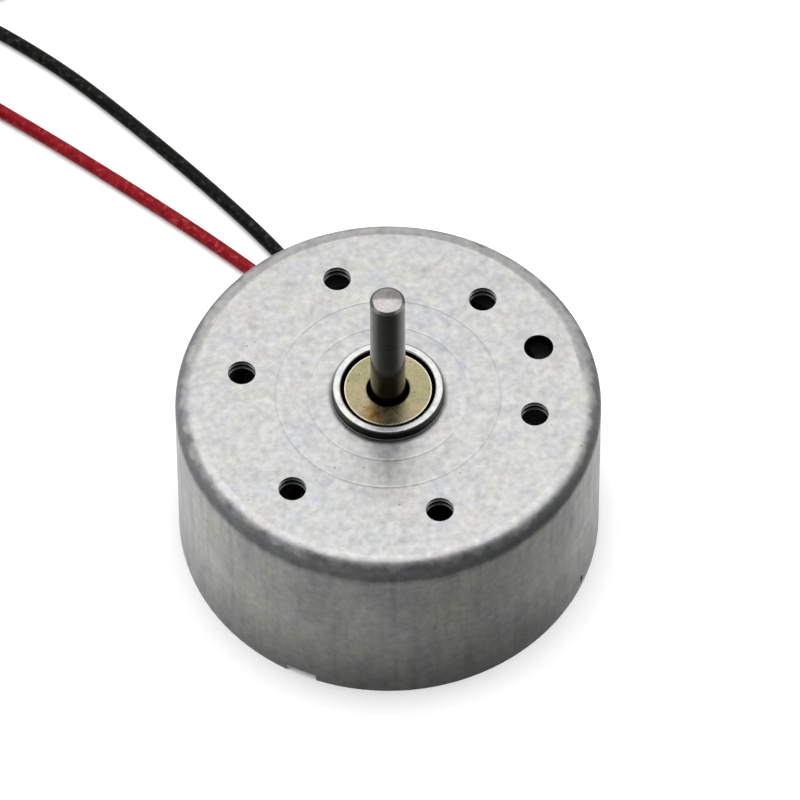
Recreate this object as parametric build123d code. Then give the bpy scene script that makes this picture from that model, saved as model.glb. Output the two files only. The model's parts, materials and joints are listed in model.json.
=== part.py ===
from build123d import *
from math import atan2, cos, degrees, pi, radians, sin, sqrt, tan
import os

# Small brushed DC motor in a drawn steel can, with two insulated leads.
# All sizes are in millimetres. The origin is the centre of the can's open rim,
# which the motor stands on, and +Z runs along the shaft to its free end.

# ---- driving dimensions: can -------------------------------------------------
CAN_R = 12.2
CAN_H = 12.5
CAN_WALL = 0.8
CAN_CORNER_R = 1.1
CAN_INNER_CORNER_R = 0.4
COLLAR_R = 3.2
COLLAR_H = 0.68
COLLAR_EDGE_R = 0.12
COLLAR_FOOT_R = 0.06
BEARING_R = 2.72
COINED_RING_RS = (4.6, 6.45)
COINED_RING_WIDTH = 0.2
COINED_RING_DEPTH = 0.005

# ---- driving dimensions: holes in the front face -----------------------------
TAPPED_CIRCLE_R = 8.5
TAPPED_FIRST_ANGLE = 50.0
TAPPED_COUNT = 6
TAPPED_MINOR_R = 0.8
TAPPED_MAJOR_R = 1.0
THREAD_PITCH = 0.4
LOCATING_HOLE_R = 0.85
LOCATING_HOLE_RADIUS_OUT = 9.2
LOCATING_HOLE_ANGLE = 20.0

# ---- driving dimensions: open rim --------------------------------------------
NOTCH_ANGLES = (245.4, 65.4)
NOTCH_WIDTH = 1.83
NOTCH_DEPTH = 0.5
LUG_REACH = 0.7
DENT_ANGLES = (335.0, 155.0)
DENT_R = 0.35
DENT_HEIGHT = 0.75
DENT_DEPTH = 0.2
LEAD_NOTCH_ANGLE = 106.3
LEAD_NOTCH_WIDTH = 3.9
RECESS_DEPTH = 1.0

# ---- driving dimensions: shaft and bearings ----------------------------------
SHAFT_R = 1.0
SHAFT_TIP_Z = 21.9
SHAFT_REAR_Z = 0.5
SHAFT_TIP_FLAT_R = 0.8
SHAFT_TIP_CHAMFER_H = 0.1
SHAFT_TIP_DOME_H = 0.1
SHAFT_REAR_CHAMFER = 0.15
OIL_GROOVE_Z = (12.42, 13.06)
OIL_GROOVE_DEPTH = 0.03
BEARING_BORE_R = 1.015
BEARING_FACE_Z = 12.98
BEARING_BACK_Z = 11.0
BEARING_FACE_R = 2.5
BEARING_MOUTH_R = 1.25
BEARING_FLANGE_R = 3.7
REAR_BEARING_R = 1.8
REAR_BEARING_Z = (0.45, 2.3)
THRUST_PLATE_Z = (0.25, 0.45)

# ---- driving dimensions: magnet and rear cover -------------------------------
MAGNET_INNER_R = 9.3
MAGNET_Z = (3.4, 10.4)
MAGNET_SLIT = 0.6
FIT_GAP = 0.02
COVER_PLATE_Z = (RECESS_DEPTH, 2.0)
COVER_SKIRT_INNER_R = 9.6
COVER_SKIRT_TOP_Z = 3.35
COVER_BOSS_R = 2.6
COVER_BOSS_Z = (0.15, 2.3)
COVER_BOSS_EDGE_R = 0.3
COVER_WINDOW_SIZE = (1.6, 3.2)
COVER_WINDOW_PLACE = (5.4, 0.6)
MOULD_MARK_R = 1.25
MOULD_MARK_PLACE = (5.6, -5.2)
MOULD_MARK_DEPTH = 0.1
BRUSH_ANCHOR_SIZE = (1.0, 2.2, 0.9)

# ---- driving dimensions: terminals and brushes -------------------------------
TERMINAL_X = 3.5
TERMINAL_Y = 6.7
TERMINAL_PAD = (2.4, 2.0, 0.3)
TERMINAL_LEG = (0.3, 1.6, 2.6)
BRUSH_THICKNESS = 0.1
BRUSH_Z = (2.7, 3.7)
BRUSH_GAP = 0.04
BRUSH_FINGERS = 3
BRUSH_FINGER_SLOT = 0.06
SOLDER_Z = (0.15, 0.7)
SOLDER_R = 0.95

# ---- driving dimensions: rotor -----------------------------------------------
POLE_ANGLES = (90.0, 210.0, 330.0)
SEGMENT_ANGLES = (30.0, 150.0, 270.0)
CORE_R = 9.0
CORE_SHOE_INNER_R = 7.6
CORE_HUB_R = 2.4
CORE_NECK = 2.6
CORE_SLOT_DEG = 10.0
CORE_Z = (5.3, 9.3)
LAMINATION_COUNT = 8
INSULATOR_THICKNESS = 0.25
WINDING_RADIAL = (3.7, 7.1)
WINDING_WIDTH = 5.4
WINDING_OVERHANG = 0.9
WINDING_EDGE_R = 0.7
COMMUTATOR_R = 2.15
COMMUTATOR_HUB_R = 1.85
COMMUTATOR_Z = (2.6, 3.9)
COMMUTATOR_GAP_DEG = 10.0
COMMUTATOR_TAB = (1.2, 0.8, 0.15)
COMMUTATOR_BASE_Z = 2.52
VARISTOR_R = (2.25, 3.45)
VARISTOR_Z = (4.05, 4.65)
WASHER_R = 1.7
REAR_WASHER_Z = (2.32, 2.5)
SPACER_R = 1.9
SPACER_TOP_Z = 10.75
FRONT_WASHER_R = 2.2
FRONT_WASHER_THICKNESS = 0.09
FRONT_WASHER_ZS = (10.78, 10.89)
ROTATING_BORE_R = 1.0

# ---- driving dimensions: leads -----------------------------------------------
LEAD_D = 0.8
LEAD_R = LEAD_D / 2
FLOOR_Z = LEAD_R
CONDUCTOR_R = 0.2
TIP_LENGTH = 3.0
TIE_THICKNESS = 0.2
TIE_WIDTH = 1.4
COIL_MEAN_R = 4.6
COIL_LOW_Z = FLOOR_Z + TIE_THICKNESS
COIL_TOP_Z = COIL_LOW_Z + LEAD_D * sin(radians(60))
COIL_SLACK = 0.04

# Control points of each lead, from its solder joint, through the rim notch and
# along the floor to its coil, and then of the free tail after the coil.
RED_LEAD_ROUTE = [
    (-3.50, 8.10, FLOOR_Z),
    (-3.62, 9.60, FLOOR_Z),
    (-4.10, 11.40, FLOOR_Z),
    (-5.10, 13.50, FLOOR_Z),
    (-6.60, 15.75, FLOOR_Z),
    (-8.90, 17.80, FLOOR_Z),
    (-12.10, 20.45, FLOOR_Z),
    (-16.60, 23.95, FLOOR_Z),
    (-20.40, 26.80, FLOOR_Z),
    (-23.05, 28.70, FLOOR_Z),
    (-25.00, 30.08, FLOOR_Z + 0.1),
    (-26.73, 31.30, COIL_LOW_Z),
]
RED_COIL_CENTRE = (-29.6, 27.2)
RED_TAIL_ROUTE = [
    (-32.24, 23.43, COIL_TOP_Z),
    (-30.70, 22.30, COIL_TOP_Z + 0.12),
    (-29.45, 20.90, FLOOR_Z + 0.62),
    (-28.60, 19.10, FLOOR_Z + 0.04),
    (-28.05, 17.40, FLOOR_Z),
]
RED_TIE_ANGLE = 180.0

BLACK_LEAD_ROUTE = [
    (1.90, 7.55, FLOOR_Z),
    (0.60, 8.35, FLOOR_Z),
    (-0.90, 9.55, FLOOR_Z),
    (-2.25, 11.35, FLOOR_Z),
    (-3.55, 13.80, FLOOR_Z),
    (-5.10, 16.50, FLOOR_Z),
    (-7.20, 19.25, FLOOR_Z),
    (-10.30, 22.75, FLOOR_Z),
    (-14.20, 26.75, FLOOR_Z),
    (-18.40, 30.85, FLOOR_Z),
    (-21.90, 33.60, FLOOR_Z),
    (-24.76, 35.51, FLOOR_Z),
    (-26.60, 36.72, FLOOR_Z + 0.1),
    (-28.27, 37.83, COIL_LOW_Z),
]
BLACK_COIL_CENTRE = (-25.5, 42.0)
BLACK_TAIL_ROUTE = [
    (-23.99, 46.34, COIL_TOP_Z),
    (-22.20, 45.72, COIL_TOP_Z + 0.12),
    (-20.35, 44.85, FLOOR_Z + 0.62),
    (-18.55, 43.70, FLOOR_Z + 0.04),
    (-17.00, 42.50, FLOOR_Z),
]
BLACK_TIE_ANGLE = 90.0

ON_BASE = (Align.CENTER, Align.CENTER, Align.MIN)
HUNG = (Align.CENTER, Align.CENTER, Align.MAX)


# ---- shape helpers -----------------------------------------------------------
def lathe(*profile):
    """A solid of revolution about Z from (radius, height) points."""
    return revolve(make_face(Polyline([(r, 0, z) for r, z in profile], close=True)), Axis.Z)


def ring(outer_r, inner_r, low_z, high_z):
    return lathe((inner_r, low_z), (outer_r, low_z), (outer_r, high_z), (inner_r, high_z))


def disc(radius, low_z, high_z):
    return Pos(0, 0, low_z) * Cylinder(radius, high_z - low_z, align=ON_BASE)


def turned(shape, angle):
    return Rot(0, 0, angle) * shape


def polar(radius, angle):
    return radius * cos(radians(angle)), radius * sin(radians(angle))


def block(x_range, y_range, z_range):
    size = [high - low for low, high in (x_range, y_range, z_range)]
    middle = [(high + low) / 2 for low, high in (x_range, y_range, z_range)]
    return Pos(*middle) * Box(*size)


def round_edges(solid, radius, height, fillet_r):
    """Fillets the edges that are circles about Z of this radius at this height."""
    edges = [
        e for e in solid.edges().filter_by(GeomType.CIRCLE)
        if abs(e.radius - radius) < 1e-4 and abs(e.arc_center.Z - height) < 1e-4
    ]
    return fillet(edges, fillet_r)


def group(shapes):
    return Compound(children=[s.solid() for s in shapes])


# ---- can ---------------------------------------------------------------------
def tapped_hole():
    """A cutting tool for one tapped hole, with a V groove at each pitch."""
    low, high = CAN_H - CAN_WALL - 0.1, CAN_H + 0.1
    half_groove = (TAPPED_MAJOR_R - TAPPED_MINOR_R) * tan(radians(30))
    profile = [(0, low), (TAPPED_MINOR_R, low)]
    groove_z = CAN_H - CAN_WALL + THREAD_PITCH / 2
    while groove_z < CAN_H:
        profile += [
            (TAPPED_MINOR_R, groove_z - half_groove),
            (TAPPED_MAJOR_R, groove_z),
            (TAPPED_MINOR_R, groove_z + half_groove),
        ]
        groove_z += THREAD_PITCH
    profile += [(TAPPED_MINOR_R, high), (0, high)]
    return lathe(*profile)


def housing():
    inner_r, inner_top = CAN_R - CAN_WALL, CAN_H - CAN_WALL
    collar_top = CAN_H + COLLAR_H
    can = lathe(
        (inner_r, 0), (CAN_R, 0), (CAN_R, CAN_H), (COLLAR_R, CAN_H), (COLLAR_R, collar_top),
        (BEARING_R, collar_top), (BEARING_R, inner_top), (inner_r, inner_top),
    )
    can = round_edges(can, CAN_R, CAN_H, CAN_CORNER_R)
    can = round_edges(can, inner_r, inner_top, CAN_INNER_CORNER_R)
    can = round_edges(can, COLLAR_R, CAN_H, COLLAR_FOOT_R)
    can = round_edges(can, COLLAR_R, collar_top, COLLAR_EDGE_R)
    can = round_edges(can, BEARING_R, collar_top, COLLAR_EDGE_R)
    for radius in COINED_RING_RS:
        half = COINED_RING_WIDTH / 2
        can -= lathe((radius - half, CAN_H), (radius, CAN_H - COINED_RING_DEPTH), (radius + half, CAN_H))
    for i in range(TAPPED_COUNT):
        x, y = polar(TAPPED_CIRCLE_R, TAPPED_FIRST_ANGLE + i * 360 / TAPPED_COUNT)
        can -= Pos(x, y, 0) * tapped_hole()
    x, y = polar(LOCATING_HOLE_RADIUS_OUT, LOCATING_HOLE_ANGLE)
    can -= Pos(x, y, 0) * disc(LOCATING_HOLE_R, inner_top - 0.1, CAN_H + 0.1)
    lug = block((inner_r - LUG_REACH, inner_r + 0.05), (-NOTCH_WIDTH / 2, NOTCH_WIDTH / 2),
                (NOTCH_DEPTH, RECESS_DEPTH - FIT_GAP))
    for angle in NOTCH_ANGLES:
        can += turned(lug, angle)
        can -= turned(block((inner_r - 0.2, CAN_R + 1), (-NOTCH_WIDTH / 2, NOTCH_WIDTH / 2),
                            (-1, NOTCH_DEPTH)), angle)
    half_width = LEAD_NOTCH_WIDTH / 2
    lead_notch = block((inner_r - 1, CAN_R + 1), (-half_width, half_width), (-1, RECESS_DEPTH))
    can -= turned(lead_notch, LEAD_NOTCH_ANGLE)
    for angle in DENT_ANGLES:
        dent = Rot(0, -90, 0) * Cone(DENT_R, DENT_R / 3, DENT_DEPTH, align=ON_BASE)
        can -= turned(Pos(CAN_R, 0, DENT_HEIGHT) * dent, angle)
    return can


# ---- bearings, magnet and cover ----------------------------------------------
def front_bearing():
    inner_top = CAN_H - CAN_WALL
    mouth_depth = BEARING_MOUTH_R - BEARING_BORE_R
    edge_drop = BEARING_R - BEARING_FACE_R
    return lathe(
        (BEARING_BORE_R, BEARING_BACK_Z), (BEARING_FLANGE_R, BEARING_BACK_Z), (BEARING_FLANGE_R, inner_top),
        (BEARING_R, inner_top), (BEARING_R, BEARING_FACE_Z - edge_drop), (BEARING_FACE_R, BEARING_FACE_Z),
        (BEARING_MOUTH_R, BEARING_FACE_Z), (BEARING_BORE_R, BEARING_FACE_Z - mouth_depth),
    )


def rear_bearing():
    return ring(REAR_BEARING_R, BEARING_BORE_R, *REAR_BEARING_Z)


def thrust_plate():
    return disc(REAR_BEARING_R, *THRUST_PLATE_Z)


def ring_magnet():
    magnet = ring(CAN_R - CAN_WALL - FIT_GAP, MAGNET_INNER_R, *MAGNET_Z)
    return magnet - block((0, CAN_R), (-MAGNET_SLIT / 2, MAGNET_SLIT / 2), (0, CAN_H))


def end_cover():
    outer_r = CAN_R - CAN_WALL - FIT_GAP
    low, high = COVER_PLATE_Z
    cover = disc(outer_r, low, high)
    cover += ring(outer_r, COVER_SKIRT_INNER_R, high, COVER_SKIRT_TOP_Z)
    cover += disc(COVER_BOSS_R, *COVER_BOSS_Z)
    cover = round_edges(cover, COVER_BOSS_R, COVER_BOSS_Z[0], COVER_BOSS_EDGE_R)
    cover -= disc(REAR_BEARING_R, THRUST_PLATE_Z[0], COVER_BOSS_Z[1])
    leg_x, leg_y, _ = TERMINAL_LEG
    through = 3 * (high - low)
    mark_x, mark_y = MOULD_MARK_PLACE
    window_x, window_y = COVER_WINDOW_PLACE
    anchor_x = TERMINAL_X + leg_x / 2 + BRUSH_ANCHOR_SIZE[0] / 2
    for side in (-1, 1):
        cover += Pos(side * anchor_x, TERMINAL_Y, high) * Box(*BRUSH_ANCHOR_SIZE, align=ON_BASE)
        cover -= Pos(side * TERMINAL_X, TERMINAL_Y, low) * Box(leg_x, leg_y, through)
        # a shallow round witness mark of the mould, and a window beside each brush
        cover -= Pos(side * mark_x, mark_y, low) * Cylinder(MOULD_MARK_R, 2 * MOULD_MARK_DEPTH)
        cover -= Pos(side * window_x, window_y, low) * Box(*COVER_WINDOW_SIZE, through)
    return cover


# ---- terminals and brushes ---------------------------------------------------
def terminal(side):
    place = Pos(side * TERMINAL_X, TERMINAL_Y, RECESS_DEPTH)
    return place * Box(*TERMINAL_PAD, align=HUNG) + place * Box(*TERMINAL_LEG, align=ON_BASE)


def brush(side):
    """A leaf spring from the terminal's leg to the commutator, slit into fingers."""
    contact_x = COMMUTATOR_R + BRUSH_GAP
    anchor_x = TERMINAL_X - TERMINAL_LEG[0] / 2 - BRUSH_THICKNESS
    spine = Polyline(
        (anchor_x, TERMINAL_Y + 0.6), (anchor_x, TERMINAL_Y - 1.2), (contact_x, 1.2), (contact_x, -1.3),
        (contact_x + 0.35, -1.8),
    )
    outline = offset(spine, amount=BRUSH_THICKNESS, side=Side.LEFT)
    low, high = BRUSH_Z
    leaf = Pos(0, 0, low) * extrude(make_face(outline), high - low)
    finger = (high - low) / BRUSH_FINGERS
    for i in range(1, BRUSH_FINGERS):
        slot_z = low + i * finger
        leaf -= block((0, TERMINAL_X + 2), (-3, 2.4),
                      (slot_z - BRUSH_FINGER_SLOT / 2, slot_z + BRUSH_FINGER_SLOT / 2))
    return leaf if side > 0 else mirror(leaf, Plane.YZ)


def brush_damper(side):
    inner_x = COMMUTATOR_R + BRUSH_GAP + BRUSH_THICKNESS
    pad = block((inner_x, inner_x + 0.5), (0.2, 1.0), (BRUSH_Z[0] + 0.1, BRUSH_Z[1] - 0.1))
    return pad if side > 0 else mirror(pad, Plane.YZ)


def solder_joint(side):
    low, high = SOLDER_Z
    drop = high - low
    blob = lathe((0, low), (0.45 * SOLDER_R, low + 0.06 * drop), (0.8 * SOLDER_R, low + 0.4 * drop),
                 (SOLDER_R, high), (0, high))
    return Pos(side * TERMINAL_X, TERMINAL_Y, 0) * blob


def joint_conductor(route, side):
    """The bare conductor from the middle of the solder joint to where the insulation starts."""
    start = Vector(side * TERMINAL_X, TERMINAL_Y, FLOOR_Z)
    end = Vector(*route[0])
    return Solid.make_cylinder(CONDUCTOR_R, (end - start).length, Plane(origin=start, z_dir=end - start))


# ---- rotor -------------------------------------------------------------------
def shaft():
    """A bar with a chamfered, slightly domed free end and a shallow oil groove at the front bearing."""
    dome_z = SHAFT_TIP_Z - SHAFT_TIP_DOME_H
    chamfer_z = dome_z - SHAFT_TIP_CHAMFER_H
    dome_r = (SHAFT_TIP_FLAT_R**2 + SHAFT_TIP_DOME_H**2) / (2 * SHAFT_TIP_DOME_H)
    bar = lathe((0, SHAFT_REAR_Z), (SHAFT_R - SHAFT_REAR_CHAMFER, SHAFT_REAR_Z),
                (SHAFT_R, SHAFT_REAR_Z + SHAFT_REAR_CHAMFER), (SHAFT_R, chamfer_z),
                (SHAFT_TIP_FLAT_R, dome_z), (SHAFT_TIP_FLAT_R, SHAFT_TIP_Z), (0, SHAFT_TIP_Z))
    dome = Pos(0, 0, SHAFT_TIP_Z - dome_r) * Sphere(dome_r)
    bar -= disc(SHAFT_R, dome_z, SHAFT_TIP_Z + 1) - dome
    low, high = OIL_GROOVE_Z
    return bar - lathe((SHAFT_R, low), (SHAFT_R - OIL_GROOVE_DEPTH, (low + high) / 2), (SHAFT_R, high),
                       (SHAFT_R + 1, high), (SHAFT_R + 1, low))


def pole_outline(outer_r):
    """The three-pole star: hub, necks and shoes, with a bore for the shaft."""
    reach = 2 * outer_r
    spread = reach * tan(radians(CORE_SLOT_DEG / 2))
    wedge = make_face(Polyline((0, 0), (reach, -spread), (reach, spread), close=True))
    outline = Circle(outer_r) - Circle(CORE_SHOE_INNER_R)
    for angle in SEGMENT_ANGLES:
        outline -= turned(wedge, angle)
    outline += Circle(CORE_HUB_R)
    neck_end = CORE_SHOE_INNER_R + 0.3
    for angle in POLE_ANGLES:
        outline += turned(Pos(neck_end / 2, 0) * Rectangle(neck_end, CORE_NECK), angle)
    return outline - Circle(ROTATING_BORE_R)


def core_laminations():
    thickness = (CORE_Z[1] - CORE_Z[0]) / LAMINATION_COUNT
    sheet = extrude(pole_outline(CORE_R), thickness)
    return group(Pos(0, 0, CORE_Z[0] + i * thickness) * sheet for i in range(LAMINATION_COUNT))


def insulator(low_z):
    return Pos(0, 0, low_z) * extrude(pole_outline(CORE_R - 0.15), INSULATOR_THICKNESS)


def winding(angle):
    low = CORE_Z[0] - INSULATOR_THICKNESS
    high = CORE_Z[1] + INSULATOR_THICKNESS
    half = WINDING_WIDTH / 2
    coil = block(WINDING_RADIAL, (-half, half), (low - WINDING_OVERHANG, high + WINDING_OVERHANG))
    coil = fillet(coil.edges().filter_by(Axis.X), WINDING_EDGE_R)
    eye = block((0, CORE_R), (-CORE_NECK / 2 - 0.01, CORE_NECK / 2 + 0.01), (low - 0.01, high + 0.01))
    return turned(coil - eye, angle)


def commutator_hub():
    tab_z = COMMUTATOR_Z[1]
    step_z = tab_z + COMMUTATOR_TAB[2]
    top_z = CORE_Z[0] - INSULATOR_THICKNESS
    return lathe(
        (ROTATING_BORE_R, COMMUTATOR_BASE_Z), (COMMUTATOR_HUB_R, COMMUTATOR_BASE_Z),
        (COMMUTATOR_HUB_R, step_z), (VARISTOR_R[0], step_z), (VARISTOR_R[0], top_z),
        (ROTATING_BORE_R, top_z),
    )


def commutator_segment(angle):
    tab_length, tab_width, tab_thickness = COMMUTATOR_TAB
    low, high = COMMUTATOR_Z
    half = 60 - COMMUTATOR_GAP_DEG / 2
    face = make_face(Polyline(
        (COMMUTATOR_HUB_R, 0, low), (COMMUTATOR_R, 0, low), (COMMUTATOR_R, 0, high + tab_thickness),
        (COMMUTATOR_HUB_R, 0, high + tab_thickness), close=True))
    shell = turned(revolve(face, Axis.Z, 2 * half), -half)
    tab = block((COMMUTATOR_R - 0.1, COMMUTATOR_R + tab_length), (-tab_width / 2, tab_width / 2),
                (high, high + tab_thickness))
    return turned(shell + tab, angle)


def winding_joint(angle):
    dome = lathe((0, -0.11), (0.18, -0.1), (0.32, -0.04), (0.34, 0), (0, 0))
    x, y = polar(COMMUTATOR_R + COMMUTATOR_TAB[0] - 0.4, angle)
    return Pos(x, y, COMMUTATOR_Z[1]) * dome


# ---- leads -------------------------------------------------------------------
def corner_radii(points):
    """Each corner's radius: 0.45 of its shorter run over the tangent of half its turn."""
    radii = []
    for before, here, after in zip(points, points[1:], points[2:]):
        run_in, run_out = Vector(*here) - Vector(*before), Vector(*after) - Vector(*here)
        half_turn = radians(run_in.get_angle(run_out)) / 2
        radii.append(0.45 * min(run_in.length, run_out.length) / tan(half_turn))
    return radii


def lead_tube(name, points):
    radii = corner_radii(points)
    path = FilletPolyline(*points, radius=radii)
    section = Plane(origin=path @ 0, z_dir=path % 0) * Circle(LEAD_R)
    tube = sweep(section, path)
    expected = pi * LEAD_R**2 * path.length
    print(f"{name}: length {path.length:.2f}, volume {tube.volume:.3f} of {expected:.3f},",
          "radii", [round(r, 1) for r in radii])
    return tube


def bundle_outline(margin):
    """Section of the coiled bundle: two turns side by side with one resting on them."""
    reach = LEAD_R + margin
    inner_r, outer_r = COIL_MEAN_R - LEAD_R, COIL_MEAN_R + LEAD_R
    centres = [(inner_r, COIL_LOW_Z), (outer_r, COIL_LOW_Z), (COIL_MEAN_R, COIL_TOP_Z)]
    outline = []
    for (x, z), turns in zip(centres, ((150, 210, 270), (270, 330, 30), (30, 90, 150))):
        outline += [(x + reach * cos(radians(a)), z + reach * sin(radians(a))) for a in turns]
    edges = []
    for i in range(0, 9, 3):
        edges.append(ThreePointArc(*[(r, 0, z) for r, z in outline[i:i + 3]]))
        r1, z1 = outline[i + 2]
        r2, z2 = outline[(i + 3) % 9]
        edges.append(Line((r1, 0, z1), (r2, 0, z2)))
    return make_face(edges)


def lead_coil(centre):
    return Pos(*centre, 0) * revolve(bundle_outline(COIL_SLACK), Axis.Z)


def coil_tie(centre, angle):
    span = degrees(TIE_WIDTH / COIL_MEAN_R)
    band = revolve(bundle_outline(TIE_THICKNESS), Axis.Z, span) - revolve(bundle_outline(COIL_SLACK), Axis.Z)
    return Pos(*centre, 0) * turned(band, angle - span / 2)


def lead_tip(tail):
    end = Vector(*tail[-1])
    along = (end - Vector(*tail[-2])).normalized()
    return Solid.make_cylinder(CONDUCTOR_R, TIP_LENGTH, Plane(origin=end, z_dir=along))


# ---- the pieces --------------------------------------------------------------
def pieces():
    made = {
        "housing": housing(),
        "front_bearing": front_bearing(),
        "ring_magnet": ring_magnet(),
        "end_cover": end_cover(),
        "rear_bearing": rear_bearing(),
        "thrust_plate": thrust_plate(),
        "terminal_positive": terminal(-1),
        "terminal_negative": terminal(1),
        "brush_positive": brush(-1),
        "brush_negative": brush(1),
        "brush_dampers": group([brush_damper(-1), brush_damper(1)]),
        "shaft": shaft(),
        "core_laminations": core_laminations(),
        "rear_insulator": insulator(CORE_Z[0] - INSULATOR_THICKNESS),
        "front_insulator": insulator(CORE_Z[1]),
        "commutator_hub": commutator_hub(),
        "commutator_segments": group(commutator_segment(a) for a in SEGMENT_ANGLES),
        "varistor_ring": ring(VARISTOR_R[1], VARISTOR_R[0], *VARISTOR_Z),
        "winding_joints": group(winding_joint(a) for a in SEGMENT_ANGLES),
        "rear_washer": ring(WASHER_R, BEARING_BORE_R, *REAR_WASHER_Z),
        "front_spacer": ring(SPACER_R, ROTATING_BORE_R, CORE_Z[1] + INSULATOR_THICKNESS, SPACER_TOP_Z),
        "front_washers": group(
            ring(FRONT_WASHER_R, BEARING_BORE_R, z, z + FRONT_WASHER_THICKNESS) for z in FRONT_WASHER_ZS),
    }
    for number, angle in enumerate(POLE_ANGLES, 1):
        made[f"winding_{number}"] = winding(angle)
    conductors = [joint_conductor(RED_LEAD_ROUTE, -1), joint_conductor(BLACK_LEAD_ROUTE, 1)]
    made["lead_joint_ends"] = group(conductors)
    made["solder_joints"] = group([solder_joint(-1) - conductors[0], solder_joint(1) - conductors[1]])
    leads = [
        ("red", RED_LEAD_ROUTE, RED_TAIL_ROUTE, RED_COIL_CENTRE, RED_TIE_ANGLE),
        ("black", BLACK_LEAD_ROUTE, BLACK_TAIL_ROUTE, BLACK_COIL_CENTRE, BLACK_TIE_ANGLE),
    ]
    for colour, route, tail, centre, tie_angle in leads:
        tubes = [lead_tube(f"{colour} lead", route), lead_tube(f"{colour} tail", tail)]
        made[f"{colour}_lead"] = group(tubes)
        made[f"{colour}_lead_coil"] = lead_coil(centre)
        made[f"{colour}_coil_tie"] = coil_tie(centre, tie_angle)
        made[f"{colour}_lead_tip"] = lead_tip(tail)
    return made


os.makedirs("parts", exist_ok=True)
for node, piece in pieces().items():
    export_step(piece, f"parts/{node}.step")
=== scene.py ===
import json
from math import atan2, cos, exp, pi, radians, sin, tau

import bmesh
import bpy
from mathutils import Matrix, Vector


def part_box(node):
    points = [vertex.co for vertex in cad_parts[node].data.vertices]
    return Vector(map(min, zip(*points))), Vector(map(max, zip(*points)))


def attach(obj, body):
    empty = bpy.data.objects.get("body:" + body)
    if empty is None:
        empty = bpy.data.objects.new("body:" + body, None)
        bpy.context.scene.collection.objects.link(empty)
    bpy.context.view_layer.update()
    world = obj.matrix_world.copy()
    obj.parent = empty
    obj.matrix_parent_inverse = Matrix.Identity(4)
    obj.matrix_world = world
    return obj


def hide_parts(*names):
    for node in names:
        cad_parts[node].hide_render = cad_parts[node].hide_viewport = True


# The looks of a small brushed DC motor in a drawn steel can, with two thin leads.
# Everything is in metres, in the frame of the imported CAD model: the origin is the
# centre of the can's open rim and +Z runs along the shaft to its free end.

MM = 0.001

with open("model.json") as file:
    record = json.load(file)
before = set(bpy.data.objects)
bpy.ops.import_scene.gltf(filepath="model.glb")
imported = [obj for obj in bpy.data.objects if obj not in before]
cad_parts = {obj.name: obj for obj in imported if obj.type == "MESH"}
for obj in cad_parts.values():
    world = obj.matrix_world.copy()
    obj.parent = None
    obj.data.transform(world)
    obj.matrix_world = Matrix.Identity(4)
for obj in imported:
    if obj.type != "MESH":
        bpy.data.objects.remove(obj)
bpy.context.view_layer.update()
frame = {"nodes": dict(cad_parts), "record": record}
can_low, can_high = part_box("housing")
CAN_H = 12.5 * MM

# ---- camera --------------------------------------------------------------------
CAMERA_AIM = Vector((0.681, 3.939, 6.0)) * MM
CAMERA_DISTANCE = 0.6
CAMERA_ELEVATION = radians(55.887)
CAMERA_ROLL = -0.005
CAMERA_LENS = 466.3


def make_camera():
    back = Vector((0, -cos(CAMERA_ELEVATION), sin(CAMERA_ELEVATION)))
    level_right = Vector((1, 0, 0))
    level_up = back.cross(level_right)
    right = level_right * cos(CAMERA_ROLL) + level_up * sin(CAMERA_ROLL)
    up = back.cross(right)
    camera = bpy.data.objects.new("camera", bpy.data.cameras.new("camera"))
    camera.data.lens = CAMERA_LENS
    camera.data.clip_start, camera.data.clip_end = 0.01, 20.0
    turn = Matrix((right, up, back)).transposed().to_4x4()
    camera.matrix_world = Matrix.Translation(CAMERA_AIM + back * CAMERA_DISTANCE) @ turn
    bpy.context.scene.collection.objects.link(camera)
    bpy.context.scene.camera = camera


make_camera()

# ---- leads: the same route points as the CAD source, in metres ------------------
LEAD_D = 0.8 * MM
LEAD_R = LEAD_D / 2
CONDUCTOR_R = 0.2 * MM
TIE_MARGIN = 0.02 * MM
TIE_THICKNESS = 0.16 * MM
TIE_WIDTH = 1.4 * MM
LOCK_SIZE = Vector((0.55, 1.5, 0.9)) * MM
LOCK_SUNK = 0.12 * MM
LOCK_DROP = 0.3 * MM
LOCK_BEVEL = 0.12 * MM
STRAND_OVERLAP = 0.2 * MM
COIL_MEAN_R = 4.6 * MM
COIL_LOW_Z = 0.6 * MM
COIL_TOP_Z = COIL_LOW_Z + LEAD_D * sin(radians(60))
COIL_STEPS = 16
# an order 3 spline passes inside its control points by this share at 16 to a turn
COIL_REACH = 1 / 0.981
# turns after which the lead moves to the inner lane, then on top, and how long a move takes
INWARD_AT = 0.85
UPWARD_AT = 1.7
MOVE_TURNS = 0.15
CROSSING_LIFT = 0.07 * MM
LANDED_AT = 2.0
LANDING_TURNS = 0.1

RED_LEAD_ROUTE = [
    (-0.00350, 0.00810, 0.0004),
    (-0.00362, 0.00960, 0.0004),
    (-0.00410, 0.01140, 0.0004),
    (-0.00510, 0.01350, 0.0004),
    (-0.00660, 0.01575, 0.0004),
    (-0.00890, 0.01780, 0.0004),
    (-0.01210, 0.02045, 0.0004),
    (-0.01660, 0.02395, 0.0004),
    (-0.02040, 0.02680, 0.0004),
    (-0.02305, 0.02870, 0.0004),
    (-0.02500, 0.03008, 0.0005),
]
RED_COIL_CENTRE = (-0.0296, 0.0272)
RED_TAIL_ROUTE = [
    (-0.03224, 0.02343, COIL_TOP_Z),
    (-0.03070, 0.02230, COIL_TOP_Z + 0.00012),
    (-0.02945, 0.02090, 0.00102),
    (-0.02860, 0.01910, 0.00044),
    (-0.02805, 0.01740, 0.0004),
]
RED_EXIT = (-0.0043, 0.0118, 0.0004)
RED_LENGTH = 0.118

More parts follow.
